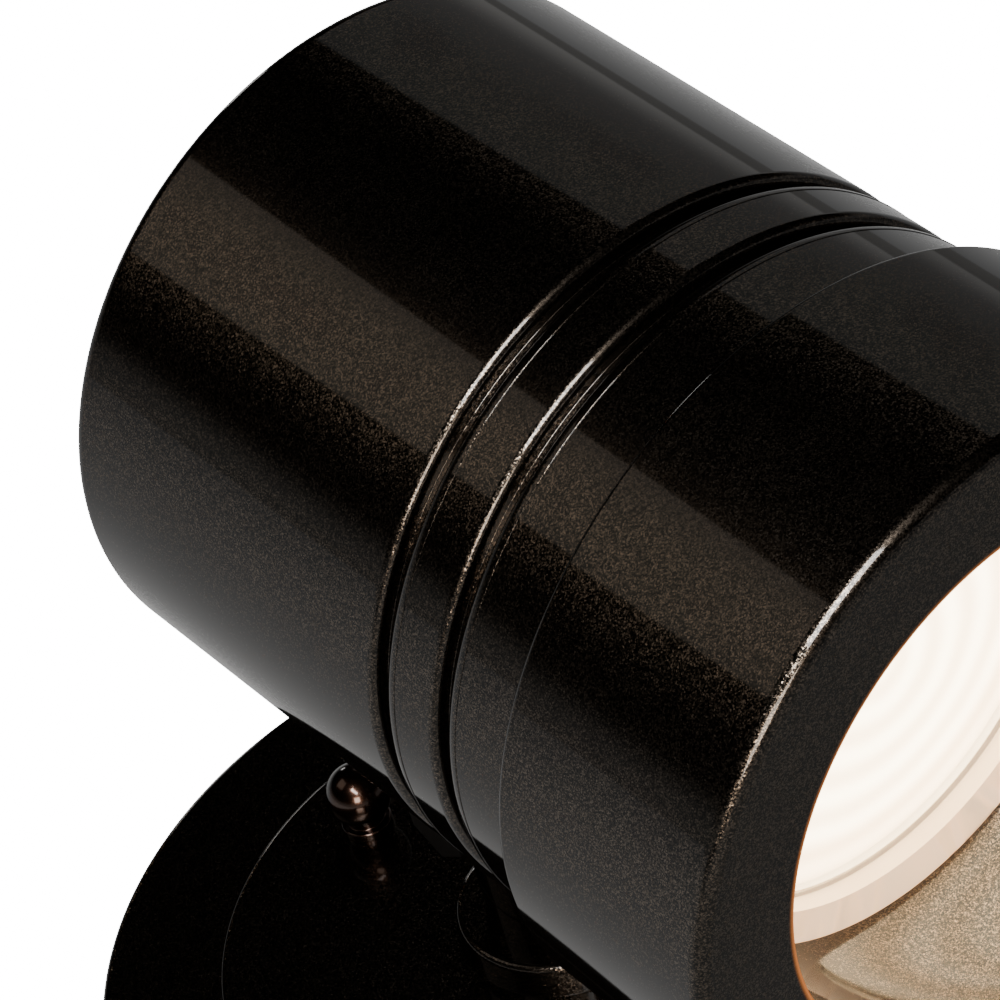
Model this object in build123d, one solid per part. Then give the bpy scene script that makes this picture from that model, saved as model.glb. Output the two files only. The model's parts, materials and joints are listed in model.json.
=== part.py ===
from build123d import *
import math
import os

# Adjustable outdoor spotlight: a cylindrical head on a knuckle above a round canopy.
# Millimetres. +Z points out of the canopy, the origin is the centre of its mounting plane,
# and the head points towards -Y.

# ---- driving dimensions ------------------------------------------------------------------
body_r = 44.45            # head body radius (3.5 in diameter)
body_wall = 4.5
rear_wall = 4.5
pivot_z = 42.2            # height of the tilt axis over the mounting plane
pivot_to_axis = body_r + 26.15    # tilt axis to head axis
head_droop = 7.15         # degrees the head points below level as modelled
pivot_s = -27.6           # station of the tilt axis along the head axis

# stations along the head axis, measured forwards from a datum inside the body
s_rear = -41.2
s_groove_a = (14.9, 16.2)
s_groove_b = (25.4, 26.65)
s_shoulder = 39.4
s_spigot_end = 45.8
s_bezel_rear = 39.7
s_glass = (48.3, 51.5)
s_face = 72.1
groove_depth = 2.2
groove_rear_round = 1.1    # rounding of the edge behind each groove
groove_front_round = 2.1   # rounding of the edge in front of each groove

bezel_r = body_r + 3.2
opening_r = 34.0
bezel_wall = 3.3
spigot_r = body_r - 0.55
glass_r = body_r - 1.15
gasket_in_r = 30.7
mouth_wall = 3.5
face_t = 4.5
seal_r = 1.05
seal_s = 42.5
seal_groove = (41.4, 43.6)
seal_floor_r = spigot_r - 2.15

canopy_r = 65.5
canopy_rim_z = 13.5
canopy_top_z = 15.0
plateau_r = 48.5
canopy_wall = 3.0
gasket_t = 2.0
screw_line = 11.0         # degrees the canopy's screw line is turned from the Y axis
nut_pitch_r = 36.3        # canopy axis to each ball nut
box_hole_r = 2.4
box_pitch_r = 44.45       # half of the 3.5 in outlet box spacing
stud_r = 2.08
stud_hole_r = 2.33
ball_r = 4.6
waist_r = 2.6
collar_r = 3.6
bar_t = 2.0
bar_width = 22.0
ground_y = 17.0           # earth screw, from the bar's middle
ground_r = 2.0

flange_r = 15.0           # swivel post's flange on the canopy
flange_t = 3.0
nipple_r = 10.4           # 1/2 in pipe thread of the swivel post
nipple_bore_r = 6.5
nipple_foot_z = 4.0
post_washer_r = 17.0
post_washer_t = 1.5
post_nut_af = 28.0
post_nut_t = 4.5
fork_r = 10.5
fork_ear = 5.0
fork_gap = 11.0
tongue_r = 10.0
tongue_t = 9.0
tail_r = 6.6              # threaded tail of the knuckle arm, through the body wall
neck_r = 8.5
saddle_r = 12.5
saddle_t = 4.5
arm_bore_r = 4.5
arm_nut_af = 17.5
arm_nut_t = 4.4
pad_depth = 7.45          # flat seat of the arm nut, in from the body surface
tail_depth = 12.95        # end of the arm's tail, in from the body surface
bolt_r = 3.0
bolt_head_af = 10.0
bolt_head_t = 4.0
bolt_washer_r = 6.5
bolt_washer_t = 1.2
friction_r = 9.0
knob_r = 9.0
knob_h = 10.0
knob_flutes = 12
run_gap = 0.05            # radial clearance of running fits
fit_gap = 0.02            # radial clearance of fits within one body

lamp_r = 32.2             # PAR20 lamp
lamp_cap_r = 13.0
lamp_tip_s = -33.0
lamp_rim_t = 2.2
lamp_depth = 40.0
thread_pitch = 3.6
thread_r = 0.95
socket_r = 18.5
socket_flange_r = 25.5
socket_screw_x = 22.0
socket_screw_r = 1.7
shell_out_r = 14.58
shell_in_r = 14.0

os.makedirs("parts", exist_ok=True)


# ---- small helpers -----------------------------------------------------------------------
def cyl(r, z0, z1):
    """Solid cylinder about Z between two heights."""
    return Pos(0, 0, (z0 + z1) / 2) * Cylinder(r, abs(z1 - z0))


def ring(r_out, r_in, z0, z1):
    """Flat ring about Z between two heights."""
    return cyl(r_out, z0, z1) - cyl(r_in, z0 - 1, z1 + 1)


def hexagon(across_flats, z0, z1):
    """Hexagonal prism about Z between two heights."""
    face = Plane.XY.offset(z0) * RegularPolygon(across_flats / 2, 6, major_radius=False)
    return extrude(face, z1 - z0)


def lathe(points):
    """Solid turned about Z from a closed outline of (radius, height) points."""
    wire = Polyline(*[(r, 0, z) for r, z in points], close=True)
    return revolve(make_face(wire), Axis.Z)


def round_edges(solid, radius, keep):
    """Fillet the circular edges that the test keeps."""
    picked = [e for e in solid.edges() if e.geom_type == GeomType.CIRCLE and keep(e)]
    return fillet(picked, radius)


def at_circle(r, z):
    """Test for a circular edge of radius r about Z at height z."""
    return lambda e: abs(e.radius - r) < 0.01 and abs(e.center(CenterOf.BOUNDING_BOX).Z - z) < 0.01


def along_x(shape):
    """Turn a piece built about Z so that it lies along X."""
    return Rot(0, 90, 0) * shape


def save(name, *solids):
    """Write one node, made of one solid or a group of separate solids."""
    shape = solids[0] if len(solids) == 1 else Compound(children=[s for s in solids])
    shape.label = name
    export_step(shape, "parts/" + name + ".step")


def tilt_frame():
    """Placement of the head: local Z runs forwards along its axis, local Y is its upper side."""
    t = math.radians(head_droop)
    y = -(pivot_to_axis * math.sin(t) - pivot_s * math.cos(t))
    z = pivot_z + pivot_to_axis * math.cos(t) + pivot_s * math.sin(t)
    return Location((0, y, z), (90 + head_droop, 0, 0))


HEAD = tilt_frame()
SCREWS = Rot(0, 0, screw_line)


# ---- canopy ------------------------------------------------------------------------------
def canopy():
    """Cast round cover with a raised middle, a centre hole and two screw holes."""
    rim_in = canopy_r - canopy_wall
    top_in = plateau_r - canopy_wall
    shell = lathe([
        (nipple_r + run_gap, canopy_top_z), (plateau_r, canopy_top_z), (plateau_r, canopy_rim_z),
        (canopy_r, canopy_rim_z), (canopy_r, gasket_t), (rim_in, gasket_t),
        (rim_in, canopy_rim_z - canopy_wall), (top_in, canopy_rim_z - canopy_wall),
        (top_in, canopy_top_z - canopy_wall), (nipple_r + run_gap, canopy_top_z - canopy_wall)])
    shell = round_edges(shell, 1.2, at_circle(canopy_r, canopy_rim_z))
    shell = round_edges(shell, 1.0, at_circle(plateau_r, canopy_top_z))
    for side in (-1, 1):
        shell -= SCREWS * Pos(0, side * nut_pitch_r, 0) * cyl(stud_hole_r, 0, canopy_top_z + 1)
    return shell


def canopy_gasket():
    """Flat foam ring between the canopy and the wall."""
    return ring(canopy_r - 0.7, canopy_r - 9.0, 0, gasket_t)


def crossbar():
    """Steel bar that is screwed to the outlet box and carries the two canopy studs."""
    end_margin = 6.0
    wire_hole_r = 9.0
    bar = extrude(SlotOverall(2 * (box_pitch_r + end_margin), bar_width), bar_t)
    bar = Rot(0, 0, 90) * bar
    bar -= cyl(wire_hole_r, -1, bar_t + 1)
    for side in (-1, 1):
        bar -= Pos(0, side * box_pitch_r, 0) * cyl(box_hole_r, -1, bar_t + 1)
        bar -= Pos(0, side * nut_pitch_r, 0) * cyl(stud_r + fit_gap, -1, bar_t + 1)
    bar -= Pos(0, ground_y, 0) * cyl(ground_r + fit_gap, -1, bar_t + 1)
    return SCREWS * bar


def canopy_stud(side):
    """Threaded stud swaged into the bar."""
    shoulder_r = 3.2
    rod = cyl(stud_r, 0, ball_centre_z() - 1.0) + cyl(shoulder_r, bar_t, bar_t + 1.0)
    rod = chamfer(rod.edges().sort_by(Axis.Z)[-1], 0.4)
    return SCREWS * Pos(0, side * nut_pitch_r, 0) * rod


def ball_centre_z():
    """Height of the middle of each ball nut."""
    waist_top = canopy_top_z + 2.0
    return waist_top + math.sqrt(ball_r ** 2 - waist_r ** 2)


def ball_nut(side):
    """Round cap nut with a short collar and a blind hole for the stud."""
    nut = Pos(0, 0, ball_centre_z()) * Sphere(ball_r)
    nut += cyl(waist_r, canopy_top_z + 1.0, ball_centre_z())
    nut += cyl(collar_r, canopy_top_z, canopy_top_z + 1.2)
    nut -= cyl(stud_r + run_gap, 0, ball_centre_z() - 0.7)
    return SCREWS * Pos(0, side * nut_pitch_r, 0) * nut


def ground_screw():
    """Earth terminal screw on the bar."""
    head_af = 7.0
    head_t = 3.0
    flange = cyl(4.2, bar_t, bar_t + 0.8)
    screw = cyl(ground_r, 0, bar_t + 0.5) + hexagon(head_af, bar_t, bar_t + head_t) + flange
    return SCREWS * Pos(0, ground_y, 0) * screw


# ---- swivel post and its clamp under the canopy ---------------------------------------------
def swivel_post():
    """Turning post: flange on the canopy, threaded tail through it, fork for the head on top."""
    flange_top = canopy_top_z + flange_t
    slot_floor = pivot_z - tongue_r - 1.2
    ear_out = fork_gap / 2 + fork_ear
    post = cyl(flange_r, canopy_top_z, flange_top) + cyl(fork_r, flange_top - 1, slot_floor)
    post = round_edges(post, 1.0, at_circle(flange_r, flange_top))
    ears = Pos(0, 0, pivot_z) * along_x(cyl(fork_r, -ear_out, ear_out))
    cheek_h = pivot_z - slot_floor + 2
    ears += Pos(0, 0, pivot_z - cheek_h / 2) * Box(2 * ear_out, 2 * fork_r, cheek_h)
    ears &= cyl(flange_r - 1.0, 0, pivot_z + fork_r + 1)
    post += ears
    post -= Pos(0, 0, slot_floor + 25) * Box(fork_gap, 4 * fork_r, 50)
    post -= Pos(0, 0, pivot_z) * along_x(cyl(bolt_r + run_gap, -20, 20))
    post += cyl(nipple_r, nipple_foot_z, canopy_top_z + 1)
    post -= cyl(nipple_bore_r, nipple_foot_z - 1, slot_floor + 1)
    return post


def post_washer():
    """Flat washer under the canopy."""
    top = canopy_top_z - canopy_wall
    return ring(post_washer_r, nipple_r + fit_gap, top - post_washer_t, top)


def post_nut():
    """Hexagon lock nut that clamps the post to the canopy."""
    top = canopy_top_z - canopy_wall - post_washer_t
    return hexagon(post_nut_af, top - post_nut_t, top) - cyl(nipple_r + fit_gap, 0, top + 1)


def lead_stubs():
    """Supply leads where they leave the post, cut off at the mounting plane."""
    lead_r = 1.3
    pitch_r = 3.0
    top = pivot_z - 16.0
    stubs = []
    for k in range(3):
        a = math.radians(120 * k + 90)
        stubs.append(Pos(pitch_r * math.cos(a), pitch_r * math.sin(a), 0) * cyl(lead_r, 0.5, top))
    return stubs


# ---- tilt pivot ------------------------------------------------------------------------------
def pivot_bolt():
    """Hexagon bolt through the fork, its head on the -X side."""
    ear_out = fork_gap / 2 + fork_ear
    seat = -ear_out - bolt_washer_t
    bolt = cyl(bolt_r, seat - 0.8, ear_out + 13.0) + hexagon(bolt_head_af, seat - bolt_head_t, seat)
    bolt = chamfer(bolt.edges().sort_by(Axis.Z)[-1], 0.5)
    return Pos(0, 0, pivot_z) * along_x(bolt)


def pivot_washers():
    """Flat washers outside the fork: one under the bolt head, one under the knob."""
    ear_out = fork_gap / 2 + fork_ear
    left = ring(bolt_washer_r, bolt_r + fit_gap, -ear_out - bolt_washer_t, -ear_out)
    right = ring(bolt_washer_r, bolt_r + fit_gap, ear_out, ear_out + bolt_washer_t)
    return [Pos(0, 0, pivot_z) * along_x(w) for w in (left, right)]


def friction_washers():
    """Fibre discs between the tongue and the fork's ears."""
    t = fork_gap / 2 - tongue_t / 2 - run_gap
    discs = []
    for side in (-1, 1):
        x = side * (fork_gap / 2 - t / 2)
        disc = ring(friction_r, bolt_r + fit_gap, -t / 2, t / 2)
        discs.append(Pos(x, 0, pivot_z) * along_x(disc))
    return discs


def tilt_knob():
    """Fluted hand knob that clamps the tilt."""
    boss_r = 6.0
    boss_h = knob_h + 2.5
    flute_r = 1.4
    flute_pitch_r = knob_r + 0.6
    x0 = fork_gap / 2 + fork_ear + bolt_washer_t + run_gap
    knob = cyl(knob_r, x0, x0 + knob_h) + cyl(boss_r, x0, x0 + boss_h)
    knob = round_edges(knob, 1.0, at_circle(knob_r, x0 + knob_h))
    for k in range(knob_flutes):
        a = math.radians(360 / knob_flutes * k)
        flute = cyl(flute_r, x0 - 1, x0 + knob_h + 1)
        knob -= Pos(flute_pitch_r * math.cos(a), flute_pitch_r * math.sin(a), 0) * flute
    knob -= cyl(bolt_r + run_gap, x0 - 1, x0 + boss_h + 1)
    return Pos(0, 0, pivot_z) * along_x(knob)


def knuckle_arm():
    """Head side of the knuckle: tongue, neck, saddle against the body and a threaded tail."""
    web = 18.0
    web_width = 14.0
    tail_end = body_r - tail_depth
    down = Pos(0, 0, pivot_s) * Rot(90, 0, 0)
    neck = down * cyl(neck_r, body_r - 4, pivot_to_axis - web_width)
    saddle = down * cyl(saddle_r, body_r - 2, body_r + saddle_t)
    plate = Pos(0, -pivot_to_axis, pivot_s) * along_x(cyl(tongue_r, -tongue_t / 2, tongue_t / 2))
    plate += Pos(0, -pivot_to_axis + web / 2, pivot_s) * Box(tongue_t, web, web_width)
    arm = neck + saddle + plate
    arm -= cyl(body_r + fit_gap, s_rear - 60, s_face)
    arm += down * cyl(tail_r, tail_end, body_r + 3)
    arm -= down * cyl(arm_bore_r, tail_end - 10, pivot_to_axis - 17.0)
    arm -= Pos(0, -pivot_to_axis, pivot_s) * along_x(cyl(bolt_r + run_gap, -20, 20))
    return HEAD * arm


def arm_nut():
    """Lock nut inside the body that holds the knuckle arm."""
    seat = body_r - pad_depth
    nut = hexagon(arm_nut_af, seat - arm_nut_t, seat) - cyl(tail_r + fit_gap, seat - 10, seat + 10)
    return HEAD * Pos(0, 0, pivot_s) * Rot(90, 0, 0) * nut


# ---- head -------------------------------------------------------------------------------------
def housing():
    """Cast body: closed at the rear, two grooves near the front, threaded spigot for the bezel."""
    inner = body_r - body_wall
    g = body_r - groove_depth
    shell = lathe([
        (0, s_rear), (body_r, s_rear), (body_r, s_groove_a[0]), (g, s_groove_a[0]),
        (g, s_groove_a[1]), (body_r, s_groove_a[1]), (body_r, s_groove_b[0]), (g, s_groove_b[0]),
        (g, s_groove_b[1]), (body_r, s_groove_b[1]), (body_r, s_shoulder), (spigot_r, s_shoulder),
        (spigot_r, s_spigot_end), (inner, s_spigot_end), (inner, s_rear + rear_wall),
        (0, s_rear + rear_wall)])
    rear_round = 2.2
    shell = round_edges(shell, rear_round, at_circle(body_r, s_rear))
    for groove in (s_groove_a, s_groove_b):
        shell = round_edges(shell, groove_rear_round, at_circle(body_r, groove[0]))
        shell = round_edges(shell, groove_front_round, at_circle(body_r, groove[1]))
    shell -= ring(spigot_r + 1, seal_floor_r, *seal_groove)
    pad_r = 13.5
    pad_face = body_r - pad_depth
    down = Pos(0, 0, pivot_s) * Rot(90, 0, 0)
    pad = down * cyl(pad_r, pad_face, body_r - 1.0)
    pad &= cyl(body_r - 1.0, s_rear + 1, s_spigot_end)
    shell += pad
    shell -= down * cyl(tail_r + fit_gap, pad_face - 7, body_r + 15)
    for side in (-1, 1):
        shell -= Pos(side * socket_screw_x, 0, 0) * cyl(socket_screw_r + run_gap, s_rear + 1.5, 0)
    return HEAD * shell


def seal_ring():
    """Round rubber ring in the spigot groove."""
    return HEAD * Pos(0, 0, seal_s) * Torus(seal_floor_r + 0.05 + seal_r, seal_r)


def bezel():
    """Screw-on front ring: a deep round mouth in front of the glass, relieved behind the face."""
    bore = bezel_r - bezel_wall
    tube_r = opening_r + mouth_wall
    behind = s_face - face_t
    relief = bore - 0.6
    step_s = s_glass[1] + 2
    part = lathe([
        (bore, s_bezel_rear), (bezel_r, s_bezel_rear), (bezel_r, s_face), (opening_r, s_face),
        (opening_r, s_glass[1]), (tube_r, s_glass[1]), (tube_r, behind),
        (relief, behind), (relief, step_s), (bore, step_s)])
    part = round_edges(part, 1.8, at_circle(bezel_r, s_face))
    part = round_edges(part, 0.3, at_circle(bezel_r, s_bezel_rear))
    part = round_edges(part, 0.6, at_circle(opening_r, s_face))
    return HEAD * part


def front_glass():
    """Flat toughened glass behind the mouth."""
    glass = cyl(glass_r, s_glass[0], s_glass[1])
    glass = chamfer(glass.edges().filter_by(GeomType.CIRCLE), 0.4)
    return HEAD * glass


def glass_gasket():
    """Pale silicone ring between the spigot, the glass and the lamp's rim."""
    return HEAD * ring(glass_r, gasket_in_r, s_spigot_end, s_glass[0])


# ---- lamp -------------------------------------------------------------------------------------
def lamp_reflector():
    """Pressed reflector bowl: a parabolic inside, a rim band and a round neck."""
    rim = s_spigot_end - 0.3
    throat_r = 8.0
    throat_out_r = 10.5
    throat_s = -4.0
    bowl_in = []
    bowl_out = []
    steps = 12
    for k in range(steps + 1):
        u = k / steps
        z = rim - 5.0 - lamp_depth * (1 - u)
        bowl_in.append((throat_r + (lamp_r - lamp_rim_t - throat_r) * math.sqrt(u), z + 2.0))
        bowl_out.append((throat_out_r + (lamp_r - throat_out_r) * math.sqrt(u), z))
    outer = Spline(*[(r, 0, z) for r, z in bowl_out])
    inner = Spline(*[(r, 0, z) for r, z in bowl_in])
    rim_out = (lamp_r, 0, rim)
    rim_in = (lamp_r - lamp_rim_t, 0, rim)
    foot_out = (throat_out_r, 0, throat_s)
    foot_in = (throat_r, 0, throat_s)
    edge = [Line(outer @ 1, rim_out), Line(rim_out, rim_in), Line(rim_in, inner @ 1)]
    foot = [Line(outer @ 0, foot_out), Line(foot_out, foot_in), Line(foot_in, inner @ 0)]
    face = make_face([outer, *edge, inner, *foot])
    return HEAD * revolve(face, Axis.Z)


def lamp_lens():
    """Slightly domed front glass of the lamp, set in its rim."""
    rim = s_spigot_end - 0.3
    r = lamp_r - lamp_rim_t - fit_gap
    rise = 2.6
    edge = rim - 1.0
    top = edge + rise
    back = rim - 2.4
    sphere_r = (r * r + rise * rise) / (2 * rise)
    mid = (r / 2, 0, top - sphere_r + math.sqrt(sphere_r ** 2 - r * r / 4))
    dome = ThreePointArc((r, 0, edge), mid, (0, 0, top))
    lens = make_face([dome, Line((0, 0, top), (0, 0, back)), Line((0, 0, back), (r, 0, back)),
                      Line((r, 0, back), (r, 0, edge))])
    return HEAD * revolve(lens, Axis.Z)


def lamp_capsule():
    """Halogen capsule on the lamp's axis."""
    bulb_r = 4.2
    bulb_top = 20.0
    stem_r = 3.0
    bulb = cyl(bulb_r, 6.0, bulb_top) + Pos(0, 0, bulb_top) * Sphere(bulb_r)
    stem = cyl(stem_r, -3.4, 6.5)
    return HEAD * (bulb + stem)


def lamp_cap():
    """Screw cap of the lamp, with a rolled thread."""
    core_r = lamp_cap_r - 0.7
    foot = lamp_tip_s + 5.0
    cone = lamp_tip_s + 2.5
    top = -4.0
    cap = cyl(core_r, foot, top - 0.6)
    for k in range(6):
        cap += Pos(0, 0, -9.0 - thread_pitch * k) * Torus(lamp_cap_r - thread_r, thread_r)
    cap += lathe([(0, foot), (10.8, foot), (7.5, cone), (0, cone)])
    cap += lathe([(0, top), (0, top - 0.9), (core_r, top - 0.9), (lamp_cap_r + 1.0, top)])
    cap -= cyl(lamp_cap_r - 2.0, foot + 1.0, top - 2.0)
    cap -= cyl(3.0 + fit_gap, -10.0, 1)
    return HEAD * cap


def lamp_contact():
    """Centre contact of the lamp in its black insulator."""
    insulator = cyl(4.6, lamp_tip_s + 1.0, lamp_tip_s + 2.5)
    button = cyl(3.6, lamp_tip_s, lamp_tip_s + 1.2)
    return HEAD * (insulator + button)


# ---- socket and leads ---------------------------------------------------------------------------
def socket_body():
    """Porcelain lamp socket with a flange for its two screws."""
    floor = s_rear + rear_wall
    mouth = -8.0
    flange_top = floor + 4.0
    body = cyl(socket_r, floor, mouth) + cyl(socket_flange_r, floor, flange_top)
    body = round_edges(body, 1.0, at_circle(socket_r, mouth))
    body -= cyl(shell_out_r + fit_gap, floor + 2.6, 0)
    for side in (-1, 1):
        body -= Pos(side * socket_screw_x, 0, 0) * cyl(socket_screw_r + 0.15, floor - 1, flange_top + 1)
    return HEAD * body


def socket_shell():
    """Thin screw shell that lines the socket."""
    return HEAD * ring(shell_out_r, shell_in_r, s_rear + rear_wall + 5.0, -9.0)


def socket_contact():
    """Sprung centre contact on the socket's floor."""
    floor = s_rear + rear_wall + 2.6
    return HEAD * (Pos(0, 0, floor + 0.3) * Box(6.0, 18.0, 0.6))


def socket_screws():
    """Two pan-head screws that hold the socket to the rear wall."""
    floor = s_rear + rear_wall
    screws = []
    for side in (-1, 1):
        shank = cyl(socket_screw_r, s_rear + 2.0, floor + 4.5)
        pan_head = cyl(3.2, floor + 4.0, floor + 6.2)
        screws.append(HEAD * Pos(side * socket_screw_x, 0, 0) * (shank + pan_head))
    return screws


def socket_leads():
    """Two leads from the socket's side down the knuckle arm's bore."""
    lead_r = 1.2
    cut_end = -body_r - 2.55
    leads = []
    for side in (-1, 1):
        path = Spline((side * 6.0, 1.2 - socket_r, pivot_s), (side * 5.0, -socket_r - 2.5, pivot_s),
                      (side * 1.9, -socket_r - 10.0, pivot_s), (side * 1.8, cut_end, pivot_s))
        section = Plane(path @ 0, z_dir=path % 0) * Circle(lead_r)
        leads.append(HEAD * (sweep(section, path) - cyl(socket_r + fit_gap, -60, 0)))
    return leads


# ---- write every node -----------------------------------------------------------------------------
save("canopy", canopy())
save("canopy_gasket", canopy_gasket())
save("crossbar", crossbar())
save("canopy_studs", canopy_stud(-1), canopy_stud(1))
save("ground_screw", ground_screw())
save("ball_nut_front", ball_nut(-1))
save("ball_nut_rear", ball_nut(1))
save("swivel_post", swivel_post())
save("post_washer", post_washer())
save("post_nut", post_nut())
save("lead_stubs", *lead_stubs())
save("pivot_bolt", pivot_bolt())
save("pivot_washers", *pivot_washers())
save("friction_washers", *friction_washers())
save("tilt_knob", tilt_knob())
save("knuckle_arm", knuckle_arm())
save("arm_nut", arm_nut())
save("housing", housing())
save("seal_ring", seal_ring())
save("bezel", bezel())
save("front_glass", front_glass())
save("glass_gasket", glass_gasket())
save("lamp_reflector", lamp_reflector())
save("lamp_lens", lamp_lens())
save("lamp_capsule", lamp_capsule())
save("lamp_cap", lamp_cap())
save("lamp_contact", lamp_contact())
save("socket_body", socket_body())
save("socket_shell", socket_shell())
save("socket_contact", socket_contact())
save("socket_screws", *socket_screws())
save("socket_leads", *socket_leads())
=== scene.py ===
import json
import math

import bmesh
import bpy
import numpy as np
from mathutils import Euler, Matrix, Vector


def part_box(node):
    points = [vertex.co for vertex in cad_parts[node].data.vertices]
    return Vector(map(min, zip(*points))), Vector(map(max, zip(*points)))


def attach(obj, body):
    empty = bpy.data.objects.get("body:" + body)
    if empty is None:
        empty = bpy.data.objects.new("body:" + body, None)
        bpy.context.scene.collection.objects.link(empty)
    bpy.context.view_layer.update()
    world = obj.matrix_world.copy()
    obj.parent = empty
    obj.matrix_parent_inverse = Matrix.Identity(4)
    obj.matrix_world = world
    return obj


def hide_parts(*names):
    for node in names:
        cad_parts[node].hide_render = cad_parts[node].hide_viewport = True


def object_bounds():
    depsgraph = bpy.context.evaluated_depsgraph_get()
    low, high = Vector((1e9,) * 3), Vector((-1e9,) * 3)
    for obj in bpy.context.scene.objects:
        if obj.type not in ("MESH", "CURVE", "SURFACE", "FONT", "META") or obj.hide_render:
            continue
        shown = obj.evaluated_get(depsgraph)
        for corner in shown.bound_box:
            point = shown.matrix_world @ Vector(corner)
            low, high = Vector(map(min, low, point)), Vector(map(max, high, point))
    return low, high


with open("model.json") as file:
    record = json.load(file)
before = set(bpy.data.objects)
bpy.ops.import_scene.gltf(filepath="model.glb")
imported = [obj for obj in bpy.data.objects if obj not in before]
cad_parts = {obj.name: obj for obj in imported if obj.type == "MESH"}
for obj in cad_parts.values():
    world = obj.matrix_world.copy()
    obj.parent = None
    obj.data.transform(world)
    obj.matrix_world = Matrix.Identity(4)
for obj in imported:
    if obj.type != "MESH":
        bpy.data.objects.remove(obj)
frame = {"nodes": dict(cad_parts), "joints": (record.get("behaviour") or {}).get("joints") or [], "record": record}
cad_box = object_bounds()

MM = 0.001
NODES = frame["nodes"]
JOINTS = {joint["name"]: joint for joint in frame["joints"]}
SLOT_OF = {row["node"]: row["material_slot"] for row in frame["record"]["subparts"]}


# ---- where things are ---------------------------------------------------------------------------
# The head's own axes: x to its side, y to its upper side, z forwards out of its mouth.
BEZEL_JOINT = JOINTS["bezel_turn"]
HEAD_AT = np.array(BEZEL_JOINT["pos_m"])
HEAD_FORWARD = np.array(BEZEL_JOINT["axis"]) / np.linalg.norm(BEZEL_JOINT["axis"])
HEAD_SIDE = np.array([1.0, 0.0, 0.0])
HEAD_UP = np.cross(HEAD_FORWARD, HEAD_SIDE)
HEAD = (HEAD_AT, HEAD_SIDE, HEAD_UP, HEAD_FORWARD)


def in_head(node):
    """A node's points as radius about the head's axis and station along it, in metres."""
    points = np.empty(len(NODES[node].data.vertices) * 3)
    NODES[node].data.vertices.foreach_get("co", points)
    points = points.reshape(-1, 3) - HEAD_AT
    station = points @ HEAD_FORWARD
    radius = np.linalg.norm(points - np.outer(station, HEAD_FORWARD), axis=1)
    return radius, station


BODY_R, BODY_S = in_head("housing")
BEZEL_R, BEZEL_S = in_head("bezel")
GASKET_R, GASKET_S = in_head("glass_gasket")
MOUTH_AT = HEAD_AT + HEAD_FORWARD * BEZEL_S.max()
CANOPY_LOW, CANOPY_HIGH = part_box("canopy")
CANOPY_RADIUS = CANOPY_HIGH.x

# Sizes in mm that the boxes above don't give, as the model has them.
CASTING_WALL = 4.5
GROOVES = ((14.9, 16.2), (25.4, 26.65))     # stations of each groove's two sides
GROOVE_DEPTH = 2.2
SHOULDER_AT = 39.4                          # where the body steps down to the bezel's spigot
SPIGOT_DROP = 0.55
SEAL_GROOVE = (41.4, 43.6)
SEAL_DEPTH = 2.15
BEZEL_WALL = 3.3
MOUTH_WALL = 3.5
FACE_THICKNESS = 4.5
GLASS_THICKNESS = 3.2
CANOPY_WALL = 3.0
CANOPY_STEP = 1.5
PLATEAU_RADIUS = 48.5
POST_HOLE = 10.45
BALL_RADIUS = 4.6


# ---- the camera and the light -------------------------------------------------------------------
def set_camera():
    """Long lens from above the left front, rolled so that the head falls away to the right."""
    lens = bpy.data.cameras.new("camera")
    lens.lens = 175.08
    lens.sensor_width = 36.0
    lens.clip_start = 0.01
    camera = bpy.data.objects.new("camera", lens)
    camera.location = (-0.230958, -0.424372, 0.455405)
    turn = Euler((0, 0, math.radians(-29.375))).to_matrix()
    rise = Euler((math.radians(52.4313), 0, 0)).to_matrix()
    roll = Euler((0, 0, math.radians(-16.829))).to_matrix()
    camera.rotation_euler = (turn @ rise @ roll).to_euler()
    bpy.context.scene.collection.objects.link(camera)
    bpy.context.scene.camera = camera


def softbox(name, at, aim, size, watts, tone, along=(0, 0, 1)):
    """Rectangular studio light at a point, turned to face another, its length lying along a direction."""
    light = bpy.data.lights.new(name, "AREA")
    light.shape = "RECTANGLE"
    light.size, light.size_y = size
    light.energy = watts
    light.color = tone
    lamp = bpy.data.objects.new(name, light)
    back = (Vector(at) - Vector(aim)).normalized()
    across = Vector(along).cross(back).normalized()
    length = back.cross(across)
    lamp.matrix_world = Matrix.Translation(at) @ Matrix((across, length, back)).transposed().to_4x4()
    bpy.context.scene.collection.objects.link(lamp)


def add(tree, kind, settings=None, **inputs):
    """One node with its settings and its inputs. An input goes by its name, or by its place as i0, i1 and so
    on; a value is set on the socket, and another node's output is linked to it."""
    node = tree.nodes.new(kind)
    for key, value in (settings or {}).items():
        setattr(node, key, value)
    for key, value in inputs.items():
        by_place = key[0] == "i" and key[1:].isdigit()
        socket = node.inputs[int(key[1:]) if by_place else key.replace("_", " ")]
        if isinstance(value, bpy.types.NodeSocket):
            tree.links.new(value, socket)
        else:
            socket.default_value = value
    return node


def set_room():
    """A dim room: grey near the floor, dark overhead, so that gloss shows a horizon."""
    world = bpy.data.worlds.new("room")
    world.use_nodes = True
    tree = world.node_tree
    tree.nodes.clear()
    where = add(tree, "ShaderNodeTexCoord")
    split = add(tree, "ShaderNodeSeparateXYZ", i0=where.outputs["Generated"])
    height = add(tree, "ShaderNodeMapRange", {"interpolation_type": "SMOOTHSTEP"}, Value=split.outputs["Z"],
                 From_Min=0.02, From_Max=0.22, To_Min=0.30, To_Max=0.004)
    sky = add(tree, "ShaderNodeBackground", Color=(1.0, 0.97, 0.93, 1), Strength=height.outputs["Result"])
    add(tree, "ShaderNodeOutputWorld", Surface=sky.outputs[0])
    bpy.context.scene.world = world


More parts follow.
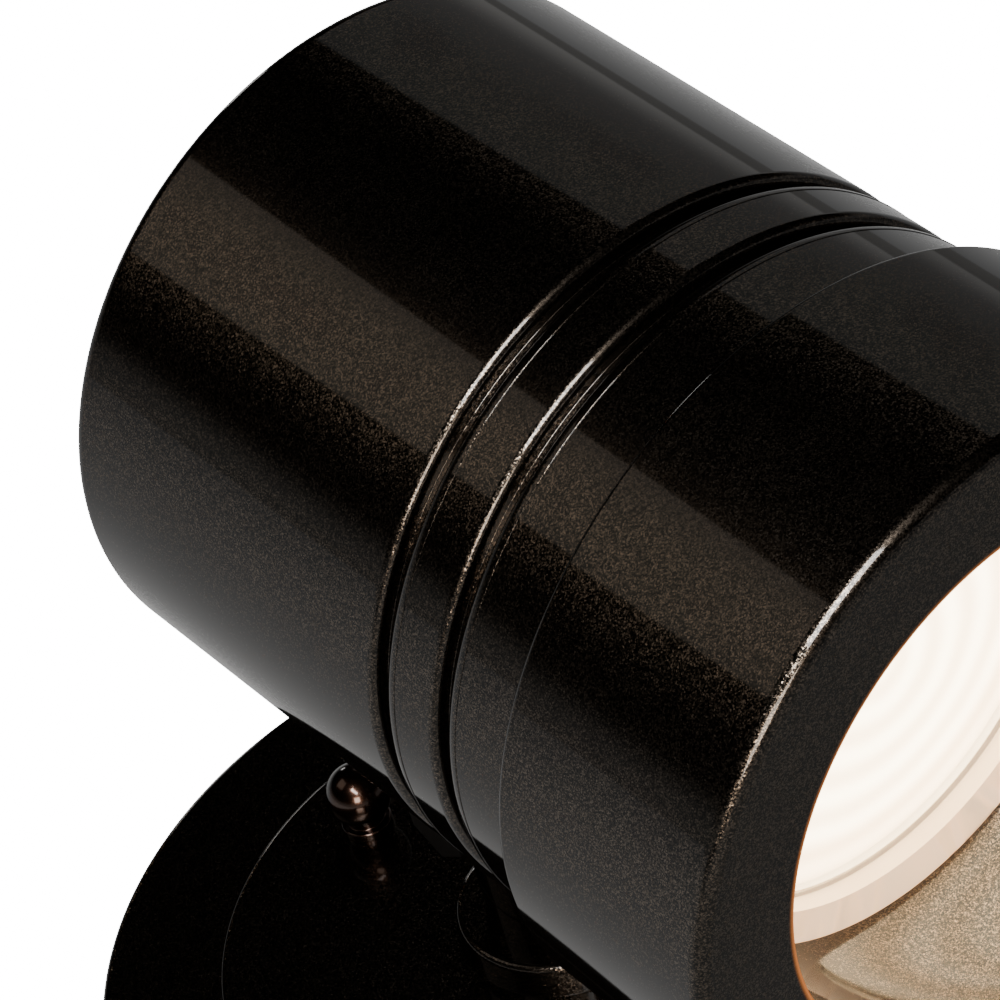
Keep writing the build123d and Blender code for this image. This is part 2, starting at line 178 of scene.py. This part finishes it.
def set_floor(material):
    """Wide pale sheet that the canopy lies on."""
    half = 3.0
    mesh = bpy.data.meshes.new("floor")
    z = cad_box[0][2] - 0.1 * MM
    corners = [(-half, -half, z), (half, -half, z), (half, half, z), (-half, half, z)]
    mesh.from_pydata(corners, [], [(0, 1, 2, 3)])
    floor = bpy.data.objects.new("floor", mesh)
    bpy.context.scene.collection.objects.link(floor)
    mesh.materials.append(material)


# ---- materials ----------------------------------------------------------------------------------
def colour(hex_code):
    """Linear colour of an sRGB hex value."""
    parts = [int(hex_code[k:k + 2], 16) / 255 for k in (1, 3, 5)]
    linear = [p / 12.92 if p <= 0.04045 else ((p + 0.055) / 1.055) ** 2.4 for p in parts]
    return (*linear, 1.0)


def new_material(name):
    """Empty material with its Principled shader and an Object coordinate to hang patterns on."""
    material = bpy.data.materials.new(name)
    material.use_nodes = True
    tree = material.node_tree
    tree.nodes.clear()
    shader = add(tree, "ShaderNodeBsdfPrincipled")
    add(tree, "ShaderNodeOutputMaterial", Surface=shader.outputs[0])
    where = add(tree, "ShaderNodeTexCoord").outputs["Object"]
    return material, tree, shader, where


def bronze_powder_coat():
    """Architectural bronze powder coat on cast aluminium, sprayed and baked under a clear layer.
    It is nearly black, with fine metal flake that glints brown, and a clear gloss that is not quite flat."""
    material, tree, shader, where = new_material("bronze_powder_coat")
    flake_mm = 0.15                        # real flake is 0.05 mm; drawn three times as coarse to show
    cells = add(tree, "ShaderNodeTexVoronoi", Vector=where, Scale=1 / (flake_mm * MM))
    lean = add(tree, "ShaderNodeVectorMath", {"operation": "SUBTRACT"}, i0=cells.outputs["Color"],
               i1=(0.5, 0.5, 0.5))
    lean = add(tree, "ShaderNodeVectorMath", {"operation": "SCALE"}, i0=lean.outputs[0], Scale=0.17)
    face = add(tree, "ShaderNodeNewGeometry").outputs["Normal"]
    tipped = add(tree, "ShaderNodeVectorMath", {"operation": "ADD"}, i0=face, i1=lean.outputs[0])
    tipped = add(tree, "ShaderNodeVectorMath", {"operation": "NORMALIZE"}, i0=tipped.outputs[0])
    tree.links.new(tipped.outputs[0], shader.inputs["Normal"])
    tint = add(tree, "ShaderNodeSeparateColor", Color=cells.outputs["Color"])
    rare = add(tree, "ShaderNodeMath", {"operation": "POWER"}, i0=tint.outputs[0], i1=2.6)
    blend = add(tree, "ShaderNodeMix", {"data_type": "RGBA"}, Factor=rare.outputs[0])
    blend.inputs[6].default_value = colour("#0b0907")
    blend.inputs[7].default_value = colour("#6c6258")
    tree.links.new(blend.outputs[2], shader.inputs["Base Color"])
    cloud = add(tree, "ShaderNodeTexNoise", Vector=where, Scale=1 / (9 * MM), Detail=3.0)
    rough = add(tree, "ShaderNodeMapRange", Value=cloud.outputs[0], To_Min=0.22, To_Max=0.28)
    tree.links.new(rough.outputs[0], shader.inputs["Roughness"])
    peel = add(tree, "ShaderNodeTexNoise", Vector=where, Scale=1 / (1.8 * MM), Detail=0.0)
    skin = add(tree, "ShaderNodeBump", Height=peel.outputs[0], Strength=0.03, Distance=0.02 * MM)
    tree.links.new(skin.outputs[0], shader.inputs["Coat Normal"])
    shader.inputs["Metallic"].default_value = 1.0
    shader.inputs["Specular Tint"].default_value = colour("#0c0906")
    shader.inputs["Coat Weight"].default_value = 0.85
    shader.inputs["Coat Roughness"].default_value = 0.06
    shader.inputs["Coat IOR"].default_value = 1.4
    return material


def bronze_nut_lacquer():
    """Turned brass cap nut under tinted bronze lacquer: the metal shows through as a broad copper gleam
    below a sharp clear highlight."""
    material, tree, shader, where = new_material("bronze_nut_lacquer")
    turned_lines = add(tree, "ShaderNodeMapping", Vector=where, Scale=(1.0, 1.0, 6.0))
    lines = add(tree, "ShaderNodeTexNoise", Vector=turned_lines.outputs[0], Scale=1 / (0.5 * MM), Detail=3.0)
    blend = add(tree, "ShaderNodeMix", {"data_type": "RGBA"}, Factor=lines.outputs[0])
    blend.inputs[6].default_value = colour("#22150f")
    blend.inputs[7].default_value = colour("#4a3226")
    tree.links.new(blend.outputs[2], shader.inputs["Base Color"])
    rough = add(tree, "ShaderNodeMapRange", Value=lines.outputs[0], To_Min=0.20, To_Max=0.26)
    tree.links.new(rough.outputs[0], shader.inputs["Roughness"])
    shader.inputs["Metallic"].default_value = 1.0
    shader.inputs["Specular Tint"].default_value = colour("#241610")
    shader.inputs["Coat Weight"].default_value = 1.0
    shader.inputs["Coat Roughness"].default_value = 0.12
    shader.inputs["Coat IOR"].default_value = 1.45
    return material


def bronze_with_painted_glow():
    """The same bronze powder coat on the front ring, with a painted warm glow round the mouth, an emission
    standing in for lamp light: full at the edge, gone a millimetre away."""
    material = bronze_powder_coat()
    material.name = "bronze_with_painted_glow"
    tree = material.node_tree
    shader = next(n for n in tree.nodes if n.type == "BSDF_PRINCIPLED")
    where = next(n for n in tree.nodes if n.type == "TEX_COORD").outputs["Object"]
    # painted glow: a warm emission rim on the paint round the mouth, standing in for lamp light
    centred = add(tree, "ShaderNodeVectorMath", {"operation": "SUBTRACT"}, i0=where, i1=tuple(MOUTH_AT))
    away = add(tree, "ShaderNodeVectorMath", {"operation": "LENGTH"}, i0=centred.outputs[0])
    edge = BEZEL_R.min()
    rim = add(tree, "ShaderNodeMapRange", {"interpolation_type": "SMOOTHERSTEP"}, Value=away.outputs["Value"],
              From_Min=edge, From_Max=edge + 1.1 * MM, To_Min=0.9, To_Max=0.0)
    depth = add(tree, "ShaderNodeVectorMath", {"operation": "DOT_PRODUCT"}, i0=centred.outputs[0],
                i1=tuple(HEAD_FORWARD))
    front = add(tree, "ShaderNodeMapRange", Value=depth.outputs["Value"], From_Min=-0.9 * MM, From_Max=0.0)
    glow = add(tree, "ShaderNodeMath", {"operation": "MULTIPLY"}, i0=rim.outputs[0], i1=front.outputs[0])
    tree.links.new(glow.outputs[0], shader.inputs["Emission Strength"])
    shader.inputs["Emission Color"].default_value = colour("#ff9440")
    return material


def plated_steel(name, base, shine, scratch_mm):
    """Zinc or nickel plated steel, turned or rolled: fine lines along its lay that spread the gloss."""
    material, tree, shader, where = new_material(name)
    lay = add(tree, "ShaderNodeMapping", Vector=where, Scale=(1.0, 1.0, 9.0))
    lines = add(tree, "ShaderNodeTexNoise", Vector=lay.outputs[0], Scale=1 / (scratch_mm * MM), Detail=4.0)
    rough = add(tree, "ShaderNodeMapRange", Value=lines.outputs[0], To_Min=shine, To_Max=shine + 0.22)
    tree.links.new(rough.outputs[0], shader.inputs["Roughness"])
    patch = add(tree, "ShaderNodeTexNoise", Vector=where, Scale=1 / (3 * MM), Detail=2.0)
    blend = add(tree, "ShaderNodeMix", {"data_type": "RGBA"}, Factor=patch.outputs[0])
    blend.inputs[6].default_value = colour(base[0])
    blend.inputs[7].default_value = colour(base[1])
    tree.links.new(blend.outputs[2], shader.inputs["Base Color"])
    grain = add(tree, "ShaderNodeBump", Height=lines.outputs[0], Strength=0.2, Distance=0.01 * MM)
    tree.links.new(grain.outputs[0], shader.inputs["Normal"])
    shader.inputs["Metallic"].default_value = 1.0
    return material


def moulded(name, base, rough_range, pit_mm, depth_mm):
    """Moulded rubber, plastic or porcelain: two close tones, soft gloss and a fine even grain."""
    material, tree, shader, where = new_material(name)
    grain = add(tree, "ShaderNodeTexNoise", Vector=where, Scale=1 / (pit_mm * MM), Detail=3.0)
    cloud = add(tree, "ShaderNodeTexNoise", Vector=where, Scale=1 / (6 * MM), Detail=2.0)
    blend = add(tree, "ShaderNodeMix", {"data_type": "RGBA"}, Factor=cloud.outputs[0])
    blend.inputs[6].default_value = colour(base[0])
    blend.inputs[7].default_value = colour(base[1])
    tree.links.new(blend.outputs[2], shader.inputs["Base Color"])
    smoothest, roughest = rough_range
    rough = add(tree, "ShaderNodeMapRange", Value=grain.outputs[0], To_Min=smoothest, To_Max=roughest)
    tree.links.new(rough.outputs[0], shader.inputs["Roughness"])
    bump = add(tree, "ShaderNodeBump", Height=grain.outputs[0], Strength=0.4, Distance=depth_mm * MM)
    tree.links.new(bump.outputs[0], shader.inputs["Normal"])
    return material


def float_glass():
    """Toughened soda-lime glass, float made: clear, flat and faintly green at its edge."""
    material, tree, shader, where = new_material("float_glass")
    dust = add(tree, "ShaderNodeTexNoise", Vector=where, Scale=1 / (4 * MM), Detail=4.0)
    rough = add(tree, "ShaderNodeMapRange", Value=dust.outputs[0], To_Min=0.0, To_Max=0.03)
    tree.links.new(rough.outputs[0], shader.inputs["Roughness"])
    shader.inputs["Base Color"].default_value = colour("#fbfdfb")
    shader.inputs["IOR"].default_value = 1.52
    shader.inputs["Transmission Weight"].default_value = 1.0
    return material


def lit_lens():
    """Pressed lamp glass, lit from behind by a halogen capsule: warm white with cream moulded rings."""
    material, tree, shader, where = new_material("lit_lens")
    centred = add(tree, "ShaderNodeVectorMath", {"operation": "SUBTRACT"}, i0=where, i1=tuple(HEAD_AT))
    along = add(tree, "ShaderNodeVectorMath", {"operation": "DOT_PRODUCT"}, i0=centred.outputs[0],
                i1=tuple(HEAD_FORWARD))
    back = add(tree, "ShaderNodeVectorMath", {"operation": "SCALE"}, i0=tuple(HEAD_FORWARD),
               Scale=along.outputs["Value"])
    flat = add(tree, "ShaderNodeVectorMath", {"operation": "SUBTRACT"}, i0=centred.outputs[0],
               i1=back.outputs[0])
    radius = add(tree, "ShaderNodeVectorMath", {"operation": "LENGTH"}, i0=flat.outputs[0])
    ripple = add(tree, "ShaderNodeTexNoise", {"noise_dimensions": "3D"}, Vector=flat.outputs[0],
                 Scale=1 / (7 * MM), Detail=3.0)
    ring_pitch = 5.5 * MM
    wave = add(tree, "ShaderNodeMath", {"operation": "MULTIPLY"}, i0=radius.outputs["Value"],
               i1=2 * math.pi / ring_pitch)
    wave = add(tree, "ShaderNodeMath", {"operation": "ADD"}, i0=wave.outputs[0], i1=ripple.outputs[0])
    wave = add(tree, "ShaderNodeMath", {"operation": "SINE"}, i0=wave.outputs[0])
    rings = add(tree, "ShaderNodeMapRange", Value=wave.outputs[0], From_Min=-1.0, From_Max=1.0,
                To_Min=0.75, To_Max=1.0)
    rim = add(tree, "ShaderNodeMapRange", {"interpolation_type": "SMOOTHSTEP"}, Value=radius.outputs["Value"],
              From_Min=20 * MM, From_Max=31 * MM, To_Min=1.0, To_Max=0.7)
    level = add(tree, "ShaderNodeMath", {"operation": "MULTIPLY"}, i0=rings.outputs[0], i1=rim.outputs[0])
    glow = add(tree, "ShaderNodeMath", {"operation": "MULTIPLY"}, i0=level.outputs[0], i1=13.0)
    warmth = add(tree, "ShaderNodeMix", {"data_type": "RGBA"}, Factor=level.outputs[0])
    warmth.inputs[6].default_value = colour("#ffb868")
    warmth.inputs[7].default_value = colour("#ffe9c4")
    tree.links.new(warmth.outputs[2], shader.inputs["Emission Color"])
    tree.links.new(glow.outputs[0], shader.inputs["Emission Strength"])
    shader.inputs["Base Color"].default_value = colour("#e8e4da")
    shader.inputs["Roughness"].default_value = 0.25
    return material


def silicone_with_painted_glow():
    """Moulded cream silicone, a little translucent, with a faint painted glow standing in for the lamp light
    behind it.
    """
    material = moulded("silicone_with_painted_glow", ("#e6d0b4", "#f0dfc8"), (0.4, 0.55), 0.5, 0.02)
    shader = next(n for n in material.node_tree.nodes if n.type == "BSDF_PRINCIPLED")
    # painted glow: a faint warm emission standing in for lamp light through the silicone
    shader.inputs["Emission Color"].default_value = colour("#ffd6ae")
    shader.inputs["Emission Strength"].default_value = 1.3
    return material


def studio_paper():
    """Matt background paper with painted light: white to the camera, a painted soft grey in the gloss behind the
    lamp and painted shade in front of it, standing in for a flag. It has the faint cloud of a rolled sheet."""
    material, tree, shader, where = new_material("studio_paper")
    cloud = add(tree, "ShaderNodeTexNoise", Vector=where, Scale=2.0, Detail=2.0)
    blend = add(tree, "ShaderNodeMix", {"data_type": "RGBA"}, Factor=cloud.outputs[0])
    blend.inputs[6].default_value = colour("#545454")
    blend.inputs[7].default_value = colour("#5a5a59")
    tree.links.new(blend.outputs[2], shader.inputs["Base Color"])
    shader.inputs["Roughness"].default_value = 0.85
    # painted light and shade: the emission grades from a soft grey behind the lamp to near dark in front of it
    split = add(tree, "ShaderNodeSeparateXYZ", i0=where)
    painted_light_grade = add(tree, "ShaderNodeMapRange", {"interpolation_type": "SMOOTHSTEP"}, Value=split.outputs["Y"],
               From_Min=-0.18, From_Max=-0.02, To_Min=0.09, To_Max=0.46)
    seen = add(tree, "ShaderNodeLightPath")
    lift = add(tree, "ShaderNodeMath", {"operation": "MULTIPLY_ADD"}, i0=seen.outputs["Is Camera Ray"],
               i1=16.0, i2=painted_light_grade.outputs[0])
    tree.links.new(lift.outputs[0], shader.inputs["Emission Strength"])
    shader.inputs["Emission Color"].default_value = (1, 1, 1, 1)
    return material


# ---- turned surfaces ----------------------------------------------------------------------------
def rounded(corners, steps=9):
    """Outline through (radius, station, rounding) corners in mm. A corner with a rounding becomes an arc
    that is tangent to its two sides: its centre is rounding / sin(half the corner) along the bisector.
    A point 0.05 mm outside each end of an arc keeps the flats flat under smooth shading."""
    shoulder = 0.05
    outline = []
    count = len(corners)
    for k, (r, s, rounding) in enumerate(corners):
        here = np.array([r, s])
        if rounding == 0:
            outline.append(here[None])
            continue
        back = np.array(corners[k - 1][:2]) - here
        ahead = np.array(corners[(k + 1) % count][:2]) - here
        back = back / np.linalg.norm(back)
        ahead = ahead / np.linalg.norm(ahead)
        half = math.acos(np.clip(back @ ahead, -1, 1)) / 2
        reach = rounding / math.tan(half)
        centre = here + (back + ahead) / np.linalg.norm(back + ahead) * rounding / math.sin(half)
        first = here + back * reach - centre
        last = here + ahead * reach - centre
        sweep = math.pi - 2 * half
        u = np.linspace(0, 1, steps)[:, None]
        arc = centre + (np.sin((1 - u) * sweep) * first + np.sin(u * sweep) * last) / math.sin(sweep)
        outline.append((here + back * (reach + shoulder))[None])
        outline.append(arc)
        outline.append((here + ahead * (reach + shoulder))[None])
    return np.vstack(outline)


def turned(name, outline, place, body, node, material, closed=True, steps=320):
    """Surface of revolution on a grid: point(u, v) = centre + r(u) cos v * side + r(u) sin v * up
    + s(u) * axis, with the outline (r, s) in mm carried once round the axis."""
    centre, side, up, axis = place
    r, s = (outline * MM).T
    v = np.linspace(0, 2 * math.pi, steps, endpoint=False)
    points = (centre + r[:, None, None] * (np.cos(v)[None, :, None] * side + np.sin(v)[None, :, None] * up)
              + s[:, None, None] * axis)
    rows = len(r)
    u_index = np.arange(rows if closed else rows - 1)
    i, j = np.meshgrid(u_index, np.arange(steps), indexing="ij")
    i2, j2 = (i + 1) % rows, (j + 1) % steps
    faces = np.stack([i * steps + j, i * steps + j2, i2 * steps + j2, i2 * steps + j], -1).reshape(-1, 4)
    mesh = bpy.data.meshes.new(name)
    mesh.from_pydata(points.reshape(-1, 3).tolist(), [], faces.tolist())
    shape = bmesh.new()
    shape.from_mesh(mesh)
    bmesh.ops.remove_doubles(shape, verts=shape.verts, dist=1e-7)
    bmesh.ops.recalc_face_normals(shape, faces=shape.faces)
    shape.to_mesh(mesh)
    shape.free()
    mesh.polygons.foreach_set("use_smooth", [True] * len(mesh.polygons))
    mesh.set_sharp_from_angle(angle=math.radians(35))
    piece = bpy.data.objects.new(name, mesh)
    bpy.context.scene.collection.objects.link(piece)
    mesh.materials.append(material)
    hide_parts(node)
    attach(piece, body)
    return piece


def body_shell(material):
    """Cast body: closed rear, two grooves behind the bezel, spigot for the seal and the bezel."""
    r = BODY_R.max() / MM
    rear, front = BODY_S.min() / MM, BODY_S.max() / MM
    floor = r - GROOVE_DEPTH
    inner = r - CASTING_WALL
    spigot = r - SPIGOT_DROP
    seal = spigot - SEAL_DEPTH
    back = rear + CASTING_WALL
    step = 0.07                            # behind each ridge the ring is turned a hair smaller
    ridge = 2.35                           # from a groove's front side to that ridge
    outer = r
    corners = [(0, rear, 0), (r, rear, 2.2)]
    for behind, ahead in GROOVES:
        corners += [(outer, behind, 1.1), (floor, behind, 0.12), (floor, ahead, 0.12), (r, ahead, 2.1),
                    (r, ahead + ridge, 0.12), (r - step, ahead + ridge + 0.05, 0.03)]
        outer = r - step
    corners += [
        (outer, SHOULDER_AT, 0.1), (spigot, SHOULDER_AT, 0.1), (spigot, SEAL_GROOVE[0], 0),
        (seal, SEAL_GROOVE[0], 0), (seal, SEAL_GROOVE[1], 0), (spigot, SEAL_GROOVE[1], 0),
        (spigot, front, 0.1), (inner, front, 0.1), (inner, back, 1.0), (0, back, 0)]
    outline = rounded(corners)
    return turned("body_shell", outline, HEAD, "head", "housing", material, closed=False)


def front_bezel(material):
    """Screw-on ring with a deep mouth: flat face, rounded rim, relieved behind the face."""
    r = BEZEL_R.max() / MM
    mouth = BEZEL_R.min() / MM
    rear, face = BEZEL_S.min() / MM, BEZEL_S.max() / MM
    clearance = 0.02
    seat = GASKET_S.max() / MM + GLASS_THICKNESS + clearance
    bore = r - BEZEL_WALL
    relief = bore - 0.6
    tube = mouth + MOUTH_WALL
    behind = face - FACE_THICKNESS
    outline = rounded([
        (bore, rear, 0.1), (r, rear, 0.8), (r, face, 1.8), (mouth, face, 0.6), (mouth, seat, 0.15),
        (tube, seat, 0.15), (tube, behind, 0.5), (relief, behind, 0.5), (relief, seat + 2, 0),
        (bore, seat + 2, 0)])
    return turned("front_bezel", outline, HEAD, "front_ring", "bezel", material)


def canopy_cover(material):
    """Cast round cover with a raised middle, hollow below."""
    r = CANOPY_RADIUS / MM
    low, top = CANOPY_LOW.z / MM, CANOPY_HIGH.z / MM
    rim = top - CANOPY_STEP
    middle = PLATEAU_RADIUS
    hole = POST_HOLE
    wall = CANOPY_WALL
    outline = rounded([
        (hole, top, 0.1), (middle, top, 1.0), (middle, rim, 0.3), (r, rim, 1.2), (r, low, 0.3),
        (r - wall, low, 0.3), (r - wall, rim - wall, 0.5), (middle - wall, rim - wall, 0.3),
        (middle - wall, top - wall, 0.5), (hole, top - wall, 0.1)])
    upright = (np.zeros(3), np.array([1.0, 0, 0]), np.array([0, 1.0, 0]), np.array([0, 0, 1.0]))
    return turned("canopy_cover", outline, upright, "base", "canopy", material)


def cap_nut(node, body, material):
    """Round cap nut: a ball on a waist and a thin collar, bored for its stud."""
    low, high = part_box(node)
    centre = (low + high) / 2
    base = low.z / MM
    ball = BALL_RADIUS
    middle = high.z / MM - ball
    waist, collar, bore = 2.6, 3.6, 2.13
    turn = np.linspace(-math.acos(waist / ball), math.pi / 2, 24)
    dome = np.stack([ball * np.cos(turn), middle + ball * np.sin(turn)], -1)
    dome[-1, 0] = 0
    foot = rounded([(0, middle - 0.7, 0), (bore, middle - 0.7, 0), (bore, base, 0.05), (collar, base, 0.1),
                    (collar, base + 1.2, 0.3), (waist, base + 1.2, 0.2), (waist, dome[0, 1], 0)])
    upright = (np.array([centre.x, centre.y, 0]), np.array([1.0, 0, 0]), np.array([0, 1.0, 0]),
               np.array([0, 0, 1.0]))
    return turned(node + "_turned", np.vstack([foot[:-1], dome]), upright, body, node, material,
                  closed=False, steps=96)


# ---- build --------------------------------------------------------------------------------------
set_camera()
set_room()
WARM = (1.0, 0.86, 0.72)
WHITE = (1.0, 0.98, 0.95)
BACKWARDS = tuple(-HEAD_FORWARD)
softbox("overhead", (-0.30, -0.44, 0.84), (0.0, -0.05, 0.05), (0.42, 0.46), 19.0, WHITE, along=(0, 1, 0))
softbox("key", (-0.53, -0.68, 0.34), (0.0, 0.0, 0.02), (0.30, 0.30), 5.0, WARM)
softbox("patch", (-0.54, 0.53, 0.87), (0.0, -0.03, 0.10), (0.48, 0.56), 0.58, WARM, along=BACKWARDS)
softbox("wall", (1.08, 0.80, 0.76), (0.0, 0.0, 0.10), (1.2, 0.6), 0.72, WHITE, along=BACKWARDS)
softbox("back", (0.25, 1.00, 0.32), (0.0, 0.0, 0.02), (0.12, 0.12), 0.3, WHITE)

bronze = bronze_powder_coat()
FINISHES = {
    "bronze_paint": bronze,
    "bronze_nut": bronze_nut_lacquer(),
    "foam_rubber": moulded("foam_rubber", ("#1b1b1c", "#262628"), (0.8, 0.95), 0.6, 0.15),
    "zinc_steel": plated_steel("zinc_steel", ("#aeb2b4", "#c9ccce"), 0.22, 0.4),
    "green_steel": plated_steel("green_steel", ("#3f7d4c", "#57a066"), 0.3, 0.4),
    "lead_sleeve": moulded("lead_sleeve", ("#2a2a2b", "#38383a"), (0.45, 0.6), 0.4, 0.02),
    "black_steel": plated_steel("black_steel", ("#1c1b1a", "#2a2826"), 0.3, 0.4),
    "fibre": moulded("fibre", ("#6a3325", "#84442f"), (0.7, 0.9), 0.5, 0.05),
    "black_nylon": moulded("black_nylon", ("#151516", "#202022"), (0.35, 0.5), 0.25, 0.02),
    "black_rubber": moulded("black_rubber", ("#161616", "#202020"), (0.55, 0.75), 0.3, 0.02),
    "clear_glass": float_glass(),
    "pale_silicone": silicone_with_painted_glow(),
    "reflector": plated_steel("reflector", ("#d9dcdd", "#eceeee"), 0.05, 1.2),
    "lamp_glass": lit_lens(),
    "nickel_brass": plated_steel("nickel_brass", ("#c7bfa8", "#ddd5be"), 0.2, 0.5),
    "solder": plated_steel("solder", ("#9a9c9e", "#b4b6b8"), 0.3, 0.3),
    "porcelain": moulded("porcelain", ("#ece8df", "#f7f4ee"), (0.12, 0.25), 0.8, 0.01)}

set_floor(studio_paper())

for node, piece in NODES.items():
    finish = FINISHES[SLOT_OF[node]]
    for k in range(len(piece.data.materials)):
        piece.data.materials[k] = finish

body_shell(bronze)
front_bezel(bronze_with_painted_glow())
canopy_cover(bronze)
cap_nut("ball_nut_front", "nut_front", FINISHES["bronze_nut"])
cap_nut("ball_nut_rear", "nut_rear", FINISHES["bronze_nut"])
